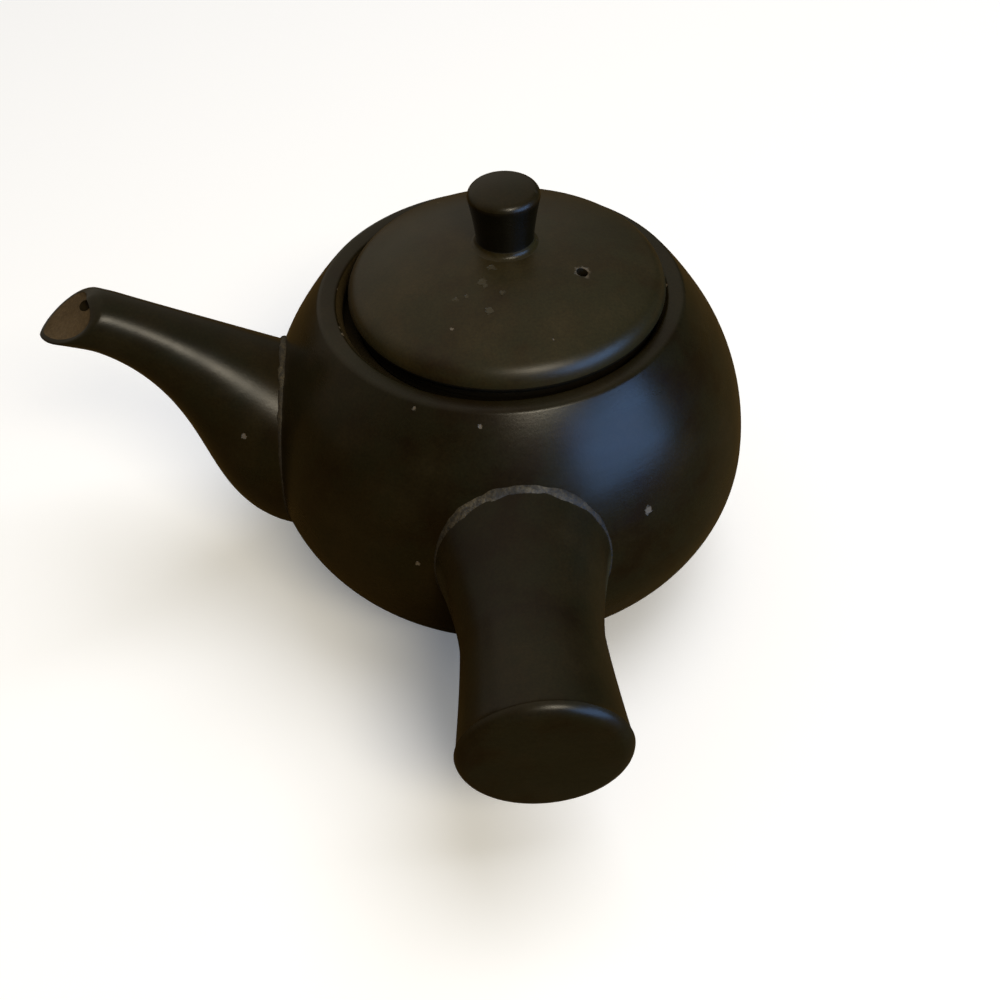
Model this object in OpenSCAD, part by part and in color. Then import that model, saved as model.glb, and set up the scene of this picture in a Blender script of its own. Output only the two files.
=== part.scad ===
// Kyusu: a small side-handled teapot in dark burnished clay. The pot, spout, handle, lid and knob are
// made apart and joined with slip, a paste of the same clay that leaves a bead round each root.
// Millimetres, +Z up. The origin is the centre of the flat base, the spout points along -X
// and the handle along -Y.

/* [Pot] */
// Widest diameter of the pot
pot_d = 100; // [94:1:106]
// Height of the widest circle above the base
belly_h = 31; // [29:0.5:33]
// Half-height of the ellipse that shapes the pot below its widest circle
belly_drop = 36.5; // [35:0.5:40]
// Half-height of the ellipse that shapes the pot above its widest circle
belly_rise = 51.5; // [49:0.5:54]
// Thickness of the pot's wall
wall = 3.6; // [3:0.1:4.2]
// Thickness of the pot's floor
floor_t = 4; // [3:0.1:6]

/* [Mouth] */
// Diameter of the mouth
mouth_d = 67; // [66.6:0.1:69]
// Width of the rounded lip around the mouth
lip_w = 2.4; // [1.8:0.1:3]
// Height of the lip above the crease where it meets the shoulder
lip_rise = 1.45; // [1:0.05:2]
// Height over which the lip rolls down into the mouth
lip_roll = 3.2; // [2:0.1:3.6]
// Depth of the lid's seat below the lip
seat_depth = 5; // [4:0.1:6]
// Width of the seat
seat_w = 5; // [4:0.1:5.2]
// Thickness of the seat's inner edge
seat_t = 3; // [2.5:0.1:4]

/* [Lid] */
// Gap all round the lid when it lies in the middle of the mouth
lid_gap = 2.4; // [1.8:0.1:3]
// Radius of the dome on top of the lid
lid_dome_r = 60; // [55:1:70]
// Height of the middle of the lid above the lip
lid_crown = 10.7; // [9:0.1:12]
// Radius of the rolled edge of the lid
lid_edge_r = 4.5; // [3:0.1:5]
// Thickness of the lid
lid_t = 3.6; // [3:0.1:4.2]
// How far the lid lies off centre in its loose seat, away from the spout
lid_shift = 1.2; // [0:0.1:1.4]
// Gap between the seat's inner edge and the ring under the lid that keeps it in the mouth
flange_gap = 2.2; // [2:0.1:4]
// Thickness of that ring
flange_t = 3; // [2.5:0.1:4]
// Depth of that ring below the seat
flange_len = 6; // [4:0.1:8]
// Diameter of the steam vent
vent_d = 2.2; // [1.5:0.1:3]
// Distance of the vent from the middle of the lid
vent_r = 16.4; // [14:0.1:18]
// Angle of the vent from +X towards the handle
vent_angle = 33; // [0:1:90]

/* [Knob] */
// Widest diameter of the knob, near its top
knob_d = 13.8; // [12:0.1:15]
// Diameter of the knob's neck
knob_neck_d = 11.2; // [10:0.1:11.8]
// Height of the knob above the lid
knob_h = 12.8; // [11:0.1:14]
// Radius of the knob's rounded top edge
knob_edge_r = 1.8; // [1:0.1:2.5]
// Radius of the knob's domed top
knob_dome_r = 20; // [14:0.5:40]
// Radius of the hollow fillet of slip at the knob's foot
knob_fillet = 1.4; // [1:0.1:2]

/* [Handle] */
// Height of the handle's axis where it meets the middle of the pot
handle_h = 40.2; // [37:0.1:42]
// Distance from the pot's axis to the end of the handle
handle_reach = 89.1; // [80:0.1:96]
// Diameter of the flared root, on the circle where the handle starts
handle_root_d = 35.4; // [32:0.1:37]
// Diameter of the waist
handle_waist_d = 26.3; // [24:0.1:28]
// Distance from the pot's axis to the waist
handle_waist_at = 65.3; // [62:0.1:70]
// Diameter of the end
handle_end_d = 31; // [28:0.1:33]
// Slope of the handle, up from the pot
handle_tilt = -3; // [-5:0.1:4]
// Thickness of the handle's wall
handle_wall = 3.6; // [3:0.1:4.5]
// Radius of the rounded edge at the handle's end
handle_edge_r = 2; // [1:0.1:3]
// Diameter of the pinhole under the handle that lets air out in the kiln
handle_pinhole_d = 2.4; // [1.5:0.1:3]

/* [Spout] */
// Height of the middle of the spout's root
spout_root_h = 32.1; // [31:0.1:34]
// Height across the spout's root
spout_root_d = 38.4; // [37:0.1:39.5]
// Width across the spout's root
spout_root_w = 36; // [32:0.1:38]
// Distance from the pot's axis to the middle of the spout's tip
spout_reach = 80.7; // [78:0.1:84]
// Height of the middle of the spout's tip
spout_tip_h = 68; // [65:0.1:70]
// Diameter of the spout at its tip
spout_tip_d = 12.4; // [11.4:0.1:14]
// Slope of the spout as it leaves the pot
spout_root_slope = 4; // [0:1:8]
// Slope of the spout at its tip
spout_tip_slope = 24.8; // [20:0.1:30]
// Slope of the cut that opens the tip, down from its upper edge to the pouring lip
spout_cut_slope = 35; // [32:1:40]
// How far the pouring lip bends down from the line of the spout
spout_droop = 1.4; // [0:0.1:2]
// How far back the cut lies on the handle's side of the tip
spout_turn = 3.4; // [0:0.1:4]
// Thickness of the spout's wall at its root
spout_wall = 5; // [4:0.1:6]
// Diameter of the hole at the tip
spout_hole_d = 2.6; // [2:0.1:3.2]
// Height of that hole above the middle of the tip
spout_hole_up = 2.9; // [2:0.1:3]
// Depth of the scoop that leads from the hole to the pouring lip
spout_scoop = 1; // [0.5:0.1:1.4]
// Diameter of the opening in the pot's wall behind the spout
spout_port_d = 20; // [16:0.5:22]

/* [Strainer] */
// Diameter of the ball that the strainer's dome is cut from
strainer_d = 32; // [30:0.5:34]
// Distance from the pot's axis to the middle of that ball
strainer_at = 52; // [51:0.1:53]
// Thickness of the strainer
strainer_t = 2.4; // [2:0.1:3]
// Diameter of each hole
strainer_hole_d = 2; // [1.4:0.1:2.2]
// Distance between the middles of neighbouring holes
strainer_pitch = 4.2; // [3.6:0.1:4.6]
// Number of rings of holes around the middle one
strainer_rings = 3; // [2:1:3]

/* [Slip beads] */
// Width of the bead on the pot's wall
bead_w = 0.8; // [0.6:0.1:1.4]
// Height of the bead up the spout or handle
bead_h = 1; // [0.8:0.1:1.6]

/* [Hidden] */
$fn = 96;
clay = [0.15, 0.13, 0.10];
slip = [0.24, 0.21, 0.17];
inner_clay = [0.18, 0.13, 0.10];

// Pot and mouth
pot_r = pot_d / 2;
mouth_r = mouth_d / 2;
crease_r = mouth_r + lip_w;
crease_z = belly_h + belly_rise * sqrt(1 - pow(crease_r / pot_r, 2));
rim_z = crease_z + lip_rise;
seat_z = rim_z - seat_depth;
seat_r = mouth_r - seat_w;
lip_r = 2;
lip_from = 85;
shelf_drop = 2;
hollow_top = seat_z - seat_t - shelf_drop;
arc_steps = 14;
small_arc_steps = 8;
overcut = 1;

// Lid and knob, measured from the lid's own axis
lid_r = mouth_r - lid_gap;
lid_top = rim_z + lid_crown;
dome_z = lid_top - lid_dome_r;
lid_clearance = 0.1;
lid_foot = seat_z + lid_clearance;
edge_x = lid_r - lid_edge_r;
edge_z = dome_z + sqrt(pow(lid_dome_r - lid_edge_r, 2) - pow(edge_x, 2));
flange_r = seat_r - flange_gap;
neck_r = knob_neck_d / 2;
pad_margin = 0.3;
knob_pad_r = neck_r + pad_margin;
knob_z = dome_z + sqrt(pow(lid_dome_r, 2) - pow(knob_pad_r, 2));
knob_flare = 1.4;
fillet_from = 250;

// Joints in the clay: pieces stop this far from the wall that they are stuck to
joint_gap = 0.05;

// Handle
handle_start = 40;
handle_root_at = 43.3;
handle_steps = 22;
root_flare = 1.6;
end_flare = 1.3;
pinhole_at = 57;

// Spout: a curved tube whose middle line and radius are both cubic curves from root to tip
spout_start = 38;
root_pull = 10.4;
tip_pull = 29;
root_swell = 3.6;
tip_waist = 0.7;
spout_path = [
    [spout_start, spout_root_h],
    [spout_start + root_pull * cos(spout_root_slope), spout_root_h + root_pull * sin(spout_root_slope)],
    [spout_reach - tip_pull * cos(spout_tip_slope), spout_tip_h - tip_pull * sin(spout_tip_slope)],
    [spout_reach, spout_tip_h]
];
spout_radii = [spout_root_d / 2, spout_root_d / 2 + root_swell, spout_tip_d / 2 - tip_waist, spout_tip_d / 2];
bore_radii = [spout_radii[0] - spout_wall, spout_radii[1] - spout_wall, spout_hole_d / 2, spout_hole_d / 2];
root_before = 0.8;
tip_before = 1.6;
sides = 48;
outer_rings = 20;
bore_rings = 12;
rim_rings = 3;
scoop_rings = 5;
foot_rings = 4;
droop_from = 4;
droop_curve = 1.4;
turn_curve = 1.4;
lip_round = 0.7;
top_round = 1.5;

// Curves and outlines
function arc(x, z, r, from, to, n = arc_steps) =
    [for (i = [0:n]) let (a = from + (to - from) * i / n) [x + r * cos(a), z + r * sin(a)]];
function belly(rx, drop, rise, from_z, to_z) = [
    for (i = [0:arc_steps]) let (a = asin((from_z - belly_h) / drop) * (1 - i / arc_steps))
        [rx * cos(a), belly_h + drop * sin(a)],
    for (i = [1:arc_steps]) let (a = asin((to_z - belly_h) / rise) * i / arc_steps)
        [rx * cos(a), belly_h + rise * sin(a)]
];
function wall_r(z) = let (up = z - belly_h) pot_r * sqrt(1 - pow(up / (up < 0 ? belly_drop : belly_rise), 2));
function reversed(list) = [for (i = [len(list) - 1:-1:0]) list[i]];
function bezier(p, t) =
    pow(1 - t, 3) * p[0] + 3 * pow(1 - t, 2) * t * p[1] + 3 * (1 - t) * t * t * p[2] + pow(t, 3) * p[3];
function bezier_slope(p, t) =
    3 * (pow(1 - t, 2) * (p[1] - p[0]) + 2 * (1 - t) * t * (p[2] - p[1]) + t * t * (p[3] - p[2]));
function unit(v) = v / norm(v);
hollow_side = belly(pot_r - wall, belly_drop - wall, belly_rise - wall, floor_t, hollow_top);

// Where miss(t) turns positive between two values of t
function crossing(miss, low, high, n = 24) = let (mid = (low + high) / 2)
    n == 0 ? mid : miss(mid) < 0 ? crossing(miss, mid, high, n - 1) : crossing(miss, low, mid, n - 1);

// Points of the spout, t along it and a around it from the top. Past t = 1 it runs on into the lip,
// which bends down from a little before there.
tip_way = bezier_slope(spout_path, 1);
tip_speed = norm(tip_way);
tip_up = [-tip_way[1], tip_way[0]] / tip_speed;
lip_len = spout_tip_d / tan(spout_tip_slope + spout_cut_slope);
function droop(t) = let (past = max(0, (t - 1) * tip_speed + droop_from))
    spout_droop * pow(past / (lip_len + droop_from), droop_curve);
function spout_mid(t) =
    (t < 1 ? bezier(spout_path, t) : spout_path[3] + (t - 1) * tip_way) - droop(t) * tip_up;
function spout_dir(t) = unit(bezier_slope(spout_path, min(t, 1)));
function spout_narrow(t) = 1 + (spout_root_w / spout_root_d - 1) * pow(1 - min(t, 1), 2);
function spout_ring_point(t, a, r, up) = let (m = spout_mid(t), d = spout_dir(t), h = r * cos(a) + up)
    [-(m[0] - h * d[1]), r * sin(a) * spout_narrow(t), m[1] + h * d[0]];
function spout_skin(t, a, inset = 0) = spout_ring_point(t, a, bezier(spout_radii, min(t, 1)) - inset, 0);
function spout_bore(t, a) = let (s = min(t, 1))
    spout_ring_point(t, a, bezier(bore_radii, s), spout_hole_up * s * s);
function off_wall(p) = norm([p[0], p[1]]) - wall_r(p[2]) - joint_gap;
function spout_root(a) = crossing(function(t) off_wall(spout_skin(t, a)), 0, root_before);
function bore_root(a) = crossing(function(t) off_wall(spout_bore(t, a)), 0, root_before);

// Points of the face that is stuck to the wall, s from the bore to the outside of the spout
function on_wall(p) = let (k = (wall_r(p[2]) + joint_gap) / norm([p[0], p[1]])) [k * p[0], k * p[1], p[2]];
function spout_foot(a, s) =
    on_wall((1 - s) * spout_bore(bore_root(a), a) + s * spout_skin(spout_root(a), a));

// The cut slopes down and out from the upper edge of the tip, and back on the handle's side
cut_normal = [-sin(spout_cut_slope), 0, cos(spout_cut_slope)];
cut_edge = spout_skin(1, 0);
function cut_miss(p) = (p - cut_edge) * cut_normal;
function spout_end(a, inset) =
    crossing(function(t) cut_miss(spout_skin(t, a, inset)), root_before, tip_before)
    - spout_turn * pow(max(0, -sin(a)), turn_curve) / tip_speed;
function bore_end(a) =
    crossing(function(t) cut_miss(spout_bore(t, a)) + spout_scoop, root_before, tip_before)
    + spout_turn * sin(a) * spout_hole_d / spout_tip_d / tip_speed;

// Points of the tip's rim, rounder at the top than at the lip, q from the outside of the spout to the cut
function tip_round(a) = lip_round + (top_round - lip_round) * pow((1 + cos(a)) / 2, 2);
function spout_rim(a, q) = let (r = tip_round(a), inset = r * (1 - cos(q)))
    spout_skin(spout_end(a, inset) - r * (1 - sin(q)) / tip_speed, a, inset);

// Points of the scoop, s from the rim to the hole
function spout_hollow(a, s) = let (edge = spout_rim(a, 90), hole = spout_bore(bore_end(a), a))
    edge + s * (hole - edge) - spout_scoop * (sin(90 * s) - s) * cut_normal;

// Points of the handle, at a distance from the pot's axis and an angle from its top
function from_waist(l, far) = (l - handle_waist_at) / (far - handle_waist_at);
function flare(l) = l < handle_waist_at
    ? (handle_root_d - handle_waist_d) / 2 * pow(from_waist(l, handle_root_at), root_flare)
    : (handle_end_d - handle_waist_d) / 2 * pow(from_waist(l, handle_reach), end_flare);
function handle_r(l) = handle_waist_d / 2 + flare(l);
function handle_skin(l, a) = let (r = handle_r(l), c = cos(handle_tilt), s = sin(handle_tilt))
    [r * sin(a), -l * c + r * cos(a) * s, handle_h + l * s + r * cos(a) * c];
function handle_root(a) = crossing(function(l) off_wall(handle_skin(l, a)), handle_start, handle_waist_at);

// A closed skin over a list of rings that returns to its first ring
module skin_of_rings(rings) {
    n = len(rings);
    m = len(rings[0]);
    points = [for (ring = rings) each ring];
    faces = [for (i = [0:n - 1], j = [0:m - 1]) let (k = (i + 1) % n, l = (j + 1) % m)
        [i * m + j, k * m + j, k * m + l, i * m + l]];
    polyhedron(points, faces, convexity = 6);
}

// Outside of the pot as a plain solid
module pot_outline(grow = 0) {
    side = belly(pot_r + grow, belly_drop + grow, belly_rise + grow, 0, crease_z);
    rotate_extrude() polygon(concat([[0, 0]], side, [[0, crease_z]]));
}

// Space inside the pot as a plain solid
module pot_hollow() {
    rotate_extrude() polygon(concat([[0, floor_t]], hollow_side, [[0, hollow_top]]));
}

// Rounded outside of a bead, in shares of its width and height
bead_round = [[1, 0], [1, 0.3], [0.7, 0.75], [0.3, 1]];
// Small steps along and around a skin, for reading off its directions
ahead = 0.01;
beside = 1;

// Bead of slip along a root, given the skin that leaves the wall and where it does so
module bead(skin, root) {
    rings = [for (j = [0:sides - 1])
        let (a = 360 * j / sides, t = root(a), foot = skin(t, a), along = unit(skin(t + ahead, a) - foot))
        let (level = foot[2] - belly_h, half = level < 0 ? belly_drop : belly_rise)
        let (wall_out = unit([foot[0], foot[1], level * pow(pot_r / half, 2)]))
        let (next = skin(root(a + beside), a + beside) - skin(root(a - beside), a - beside))
        let (away = unit(cross(next, wall_out)))
        let (lift = 2 * joint_gap * (wall_out + away), corner = foot + lift)
        concat(
            [corner],
            [for (s = bead_round) corner + s[0] * bead_w * away + s[1] * bead_h * along],
            [corner + bead_h * along + lift]
        )
    ];
    skin_of_rings(rings);
}

// Thrown pot with a flat base, a lip and a seat for the lid, open to the spout
module pot() {
    side = belly(pot_r, belly_drop, belly_rise, 0, crease_z);
    lip = [for (p = arc(0, 0, 1, lip_from, 180, small_arc_steps))
        [mouth_r + lip_r * (1 + p[0]), rim_z - lip_roll * (1 - p[1])]];
    seat = [[mouth_r, seat_z], [seat_r, seat_z], [seat_r, seat_z - seat_t]];
    color(clay) difference() {
        rotate_extrude() polygon(concat([[0, 0]], side, lip, seat, reversed(hollow_side), [[0, floor_t]]));
        translate([0, 0, spout_root_h]) rotate([0, -90, 0]) cylinder(h = pot_d, d = spout_port_d);
    }
}

// Hollow spout, scooped at the tip so that the lower lip pours
module spout() {
    angles = [for (j = [0:sides - 1]) 360 * j / sides];
    outer = [for (i = [0:outer_rings]) [for (a = angles) let (from = spout_root(a), to = spout_end(a, 0))
        spout_skin(from + (to - from - tip_round(a) / tip_speed) * i / outer_rings, a)]];
    rim = [for (i = [1:rim_rings]) [for (a = angles) spout_rim(a, 90 * i / rim_rings)]];
    scoop = [for (i = [1:scoop_rings - 1]) [for (a = angles) spout_hollow(a, i / scoop_rings)]];
    bore = [for (i = [0:bore_rings]) [for (a = angles) let (from = bore_end(a), to = bore_root(a))
        spout_bore(from + (to - from) * i / bore_rings, a)]];
    foot = [for (i = [1:foot_rings - 1]) [for (a = angles) spout_foot(a, i / foot_rings)]];
    color(clay) skin_of_rings(concat(outer, rim, scoop, bore, foot));
}

module spout_bead() {
    color(slip) bead(function(t, a) spout_skin(t, a), function(a) spout_root(a));
}

// Pierced dome that keeps the leaves out of the spout, stuck to the inside of the wall
module strainer() {
    step = strainer_pitch / (strainer_d / 2) * 180 / PI;
    color(inner_clay) difference() {
        intersection() {
            translate([-strainer_at, 0, spout_root_h]) sphere(d = strainer_d);
            pot_hollow();
        }
        translate([-strainer_at, 0, spout_root_h]) {
            sphere(d = strainer_d - 2 * strainer_t);
            for (ring = [0:strainer_rings], i = [0:max(1, 6 * ring) - 1])
                rotate([360 * i / max(1, 6 * ring), 0, 0]) rotate([0, 90 - ring * step, 0])
                    translate([0, 0, strainer_d / 2 - 2 * strainer_t])
                        cylinder(h = 3 * strainer_t, d = strainer_hole_d);
        }
    }
}

// Turned hollow handle with a closed end, trimmed to the pot's wall
module handle() {
    edge_from = handle_reach - handle_edge_r;
    edge_x = handle_r(handle_reach) - handle_edge_r;
    stations = [for (i = [0:handle_steps]) handle_start + (edge_from - handle_start) * i / handle_steps];
    outer = [for (l = stations) [handle_r(l), l]];
    edge = arc(edge_x, edge_from, handle_edge_r, 0, 90, small_arc_steps);
    inner_start = [handle_r(handle_start) - handle_wall, handle_start - overcut];
    inner_end = handle_reach - handle_wall;
    inner = [for (l = stations) if (l < inner_end - overcut) [handle_r(l) - handle_wall, l]];
    color(clay) difference() {
        translate([0, 0, handle_h]) rotate([90 - handle_tilt, 0, 0]) difference() {
            rotate_extrude() polygon(concat([[0, handle_start]], outer, edge, [[0, handle_reach]]));
            rotate_extrude() polygon(concat([[0, inner_start[1]], inner_start], inner, [[0, inner_end]]));
            translate([0, 0, pinhole_at]) rotate([90, 0, 0])
                cylinder(h = handle_root_d, d = handle_pinhole_d);
        }
        pot_outline(joint_gap);
    }
}

module handle_bead() {
    color(slip) bead(function(l, a) handle_skin(l, -a), function(a) handle_root(-a));
}

// Domed lid with a rolled edge, a ring below that keeps it in the mouth, and a steam vent
module lid() {
    edge_from = acos(edge_x / (lid_dome_r - lid_edge_r));
    top = arc(0, dome_z, lid_dome_r, acos(knob_pad_r / lid_dome_r), edge_from);
    edge = arc(edge_x, edge_z, lid_edge_r, edge_from, 0, small_arc_steps);
    under_r = lid_dome_r - lid_t;
    flange_in = flange_r - flange_t;
    flange_end = seat_z - flange_len;
    tip = arc(flange_r - flange_t / 2, flange_end + flange_t / 2, flange_t / 2, 0, -180, small_arc_steps);
    under = arc(0, dome_z, under_r, acos(flange_in / under_r), 90);
    color(clay) translate([lid_shift, 0, 0]) difference() {
        rotate_extrude() polygon(concat([[0, knob_z]], top, edge,
            [[lid_r, lid_foot], [flange_r, lid_foot]], tip, under));
        rotate(-vent_angle) translate([vent_r, 0, seat_z]) cylinder(h = lid_top, d = vent_d);
    }
}

// Knob shaped like a short upturned cone, on a flat pad in the middle of the lid
module knob() {
    knob_r = knob_d / 2;
    cap_z = knob_z + knob_h - knob_dome_r;
    round_x = knob_r - knob_edge_r;
    round_to = acos(round_x / (knob_dome_r - knob_edge_r));
    shoulder = cap_z + (knob_dome_r - knob_edge_r) * sin(round_to);
    neck = knob_z + knob_fillet;
    side = [for (i = [0:small_arc_steps]) let (s = i / small_arc_steps)
        [neck_r + (knob_r - neck_r) * pow(s, knob_flare), neck + (shoulder - neck) * s]];
    edge = arc(round_x, shoulder, knob_edge_r, 0, round_to, small_arc_steps);
    cap = arc(0, cap_z, knob_dome_r, round_to, 90, small_arc_steps);
    color(clay) translate([lid_shift, 0, 0]) rotate_extrude()
        polygon(concat([[0, knob_z], [neck_r, knob_z]], side, edge, cap));
}

// Hollow fillet of slip between the knob and the lid
module knob_bead() {
    foot_r = neck_r + knob_fillet * (1 + cos(fillet_from));
    foot_z = dome_z + sqrt(pow(lid_dome_r, 2) - pow(foot_r, 2));
    fillet_z = foot_z - knob_fillet * sin(fillet_from);
    fillet = arc(neck_r + knob_fillet, fillet_z, knob_fillet, fillet_from, 180, small_arc_steps);
    seat_to = acos(foot_r / lid_dome_r);
    seat = arc(0, dome_z, lid_dome_r, acos(knob_pad_r / lid_dome_r), seat_to, small_arc_steps);
    color(slip) translate([lid_shift, 0, 0]) rotate_extrude()
        polygon(concat([[neck_r, knob_z]], seat, fillet));
}

pot();
spout();
spout_bead();
strainer();
handle();
handle_bead();
lid();
knob();
knob_bead();
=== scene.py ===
import math

import bmesh
import bpy
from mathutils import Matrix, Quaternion, Vector, noise


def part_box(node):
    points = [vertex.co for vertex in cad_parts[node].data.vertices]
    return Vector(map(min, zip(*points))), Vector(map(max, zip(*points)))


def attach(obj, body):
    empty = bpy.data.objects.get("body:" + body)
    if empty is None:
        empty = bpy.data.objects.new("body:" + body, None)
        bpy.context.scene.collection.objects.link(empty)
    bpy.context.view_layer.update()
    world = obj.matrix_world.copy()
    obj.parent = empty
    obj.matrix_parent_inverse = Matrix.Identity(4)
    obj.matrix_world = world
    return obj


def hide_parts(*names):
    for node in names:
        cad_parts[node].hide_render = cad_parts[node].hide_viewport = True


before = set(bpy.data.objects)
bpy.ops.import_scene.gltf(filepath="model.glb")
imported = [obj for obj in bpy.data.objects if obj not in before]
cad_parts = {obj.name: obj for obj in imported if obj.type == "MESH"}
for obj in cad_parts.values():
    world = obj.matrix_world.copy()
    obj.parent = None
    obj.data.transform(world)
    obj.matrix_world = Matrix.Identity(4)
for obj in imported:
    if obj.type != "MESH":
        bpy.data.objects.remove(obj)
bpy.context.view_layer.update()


# Pot: the round body, thrown on the wheel from dark clay and burnished with a stone before firing.
# The lip is turned in one piece with it. A ledge inside the mouth carries the lid, and the inside
# is left matt. The hole for the spout is cut through the wall while the clay is still soft.
pot_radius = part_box("pot")[1].y
rim_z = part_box("pot")[1].z
belly_z = 0.031
belly_drop = 0.0365
belly_rise = 0.0515
belly_steps = 40
pot_wall = 0.0036
pot_floor = 0.004
pot_soft_edge = 0.0006
hollow_steps = 30
shoulder_z = 0.056
shoulder_lean = 0.0017
shoulder_climb = 0.0031
shoulder_steps = 16
ridge_radius = 0.0358
ridge_drop = 0.0007
ridge_z = rim_z - ridge_drop
ridge_lean = 0.0029
ridge_climb = 0.0034
lip_inside = 0.0331
lip_fall = 0.0003
lip_roll = 0.0008
lip_roll_from = 95
lip_steps = 8
mouth_slope = 55
mouth_radius = 0.0312
mouth_margin = 0.0002
seat_depth = 0.005
seat_z = rim_z - seat_depth
seat_radius = 0.0285
seat_edge = 0.003
shelf_drop = 0.002
port_z = 0.0321
port_diameter = 0.020
port_overrun = 0.01
turned_steps = 160
sponged_angle = 30
smooth_angle = 40
drill_sides = 40
inside_material = 1
mouth_painted_light_material = 2
clay_dark = (0.0200, 0.0110, 0.0028)
clay_brown = (0.0290, 0.0192, 0.0056)
clay_pale = (0.0390, 0.0274, 0.0094)
clay_olive = (0.0256, 0.0216, 0.0072)
clay_edge_pale = (0.040, 0.033, 0.023)
matt_dark = (0.0100, 0.0068, 0.0024)
matt_pale = (0.0170, 0.0120, 0.0046)
# The sloping wall of the mouth is matt clay painted about three times paler than the other matt inside:
# painted light.
mouth_painted_light_dark = (0.030, 0.0205, 0.0075)
mouth_painted_light_pale = (0.046, 0.032, 0.0125)
chip_pale = (0.125, 0.100, 0.070)
chip_grain = 1400
chip_fray = 1.5
mark_rough = (0.55, 0.55, 0.55)
spot_core = 0.6
stroke_dull = 0.09
body_tone = 0.47
body_dull = 0.25


def arc(middle, radii, start, end, steps):
    """Points of a round or oval arc in the XZ plane, between two angles in degrees."""
    angles = [math.radians(start + (end - start) * i / steps) for i in range(steps + 1)]
    return [
        Vector((middle[0] + radii[0] * math.cos(a), 0, middle[1] + radii[1] * math.sin(a)))
        for a in angles
    ]


def belly_arc(inset, from_z, to_z, steps):
    """The pot's side from one height to another, a wall's thickness further in for the inside."""
    lower = (pot_radius - inset, belly_drop - inset)
    upper = (pot_radius - inset, belly_rise - inset)
    start = math.degrees(math.asin((from_z - belly_z) / lower[1]))
    end = math.degrees(math.asin((to_z - belly_z) / upper[1]))
    return arc((0, belly_z), lower, start, 0, steps) + arc((0, belly_z), upper, 0, end, steps)


def curve(p, t):
    """A point of the smooth curve drawn by four control values."""
    return (1 - t) ** 3 * p[0] + 3 * (1 - t) ** 2 * t * p[1] + 3 * (1 - t) * t * t * p[2] + t ** 3 * p[3]


def wall_radius(z):
    """Radius of the outside of the pot at a height."""
    half = belly_drop if z < belly_z else belly_rise
    return pot_radius * math.sqrt(1 - ((z - belly_z) / half) ** 2)


def turned(outline, axis_x=0.0):
    """A shape thrown on the wheel: an outline spun about an upright axis."""
    shape = bmesh.new()
    points = [shape.verts.new(p + Vector((axis_x, 0, 0))) for p in outline]
    edges = [shape.edges.new(pair) for pair in zip(points, points[1:])]
    bmesh.ops.spin(shape, geom=points + edges, cent=(axis_x, 0, 0), axis=(0, 0, 1),
                   angle=2 * math.pi, steps=turned_steps, use_merge=True)
    bmesh.ops.remove_doubles(shape, verts=shape.verts, dist=1e-6)
    bmesh.ops.recalc_face_normals(shape, faces=shape.faces)
    return shape


def soften(shape, width):
    """Rounds the sharp edges, as a wet sponge does."""
    limit = math.radians(sponged_angle)
    sharp = [e for e in shape.edges if e.is_manifold and e.calc_face_angle() > limit]
    bmesh.ops.bevel(shape, geom=sharp, offset=width, offset_type="OFFSET", affect="EDGES", segments=3,
                    profile=0.5, material=-1, clamp_overlap=True)


def set_down(shape, name, *materials):
    """Turns a finished shape into a smooth piece of that name."""
    mesh = bpy.data.meshes.new(name)
    shape.to_mesh(mesh)
    shape.free()
    for material in materials:
        mesh.materials.append(material)
    mesh.polygons.foreach_set("use_smooth", [True] * len(mesh.polygons))
    mesh.set_sharp_from_angle(angle=math.radians(smooth_angle))
    piece = bpy.data.objects.new(name, mesh)
    bpy.context.scene.collection.objects.link(piece)
    return piece


def drill(piece, start, direction, depth, diameter):
    """Cuts a round hole with a matt wall into a piece, from a point along a direction."""
    bit = bmesh.new()
    bmesh.ops.create_cone(bit, cap_ends=True, segments=drill_sides, radius1=diameter / 2,
                          radius2=diameter / 2, depth=depth)
    bmesh.ops.rotate(bit, verts=bit.verts, cent=(0, 0, 0),
                     matrix=direction.to_track_quat("Z", "Y").to_matrix())
    bmesh.ops.translate(bit, verts=bit.verts, vec=start + direction.normalized() * depth / 2)
    for face in bit.faces:
        face.material_index = inside_material
    cutter = set_down(bit, "drill", *piece.data.materials)
    cut = piece.modifiers.new("hole", "BOOLEAN")
    cut.operation = "DIFFERENCE"
    cut.solver = "EXACT"
    cut.object = cutter
    view = bpy.context.evaluated_depsgraph_get()
    drilled = bpy.data.meshes.new_from_object(piece.evaluated_get(view))
    piece.modifiers.clear()
    piece.data = drilled
    bpy.data.objects.remove(cutter)


def add_node(tree, kind, **values):
    """A shader node with its settings and the starting values of its inputs."""
    made = tree.nodes.new("ShaderNode" + kind)
    for key, value in values.items():
        if hasattr(made, key):
            setattr(made, key, value)
        else:
            made.inputs[key.replace("_", " ")].default_value = value
    return made


def feed(tree, socket, value):
    """Gives an input a socket to read, a colour or a number."""
    if isinstance(value, bpy.types.NodeSocket):
        tree.links.new(value, socket)
    else:
        socket.default_value = (*value, 1) if isinstance(value, tuple) else value


def worked_out(tree, operation, *values):
    """A sum on numbers: each may be a socket or a plain value."""
    step = add_node(tree, "Math", operation=operation)
    for socket, value in zip(step.inputs, values):
        feed(tree, socket, value)
    return step.outputs["Value"]


def mixed(tree, blend, share, first, second):
    """Two colours mixed by a share, through the sockets that a Mix node keeps for colours."""
    mix = add_node(tree, "Mix", data_type="RGBA", blend_type=blend)
    for socket, value in zip((mix.inputs[0], mix.inputs[6], mix.inputs[7]), (share, first, second)):
        feed(tree, socket, value)
    return mix.outputs[2]


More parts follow.
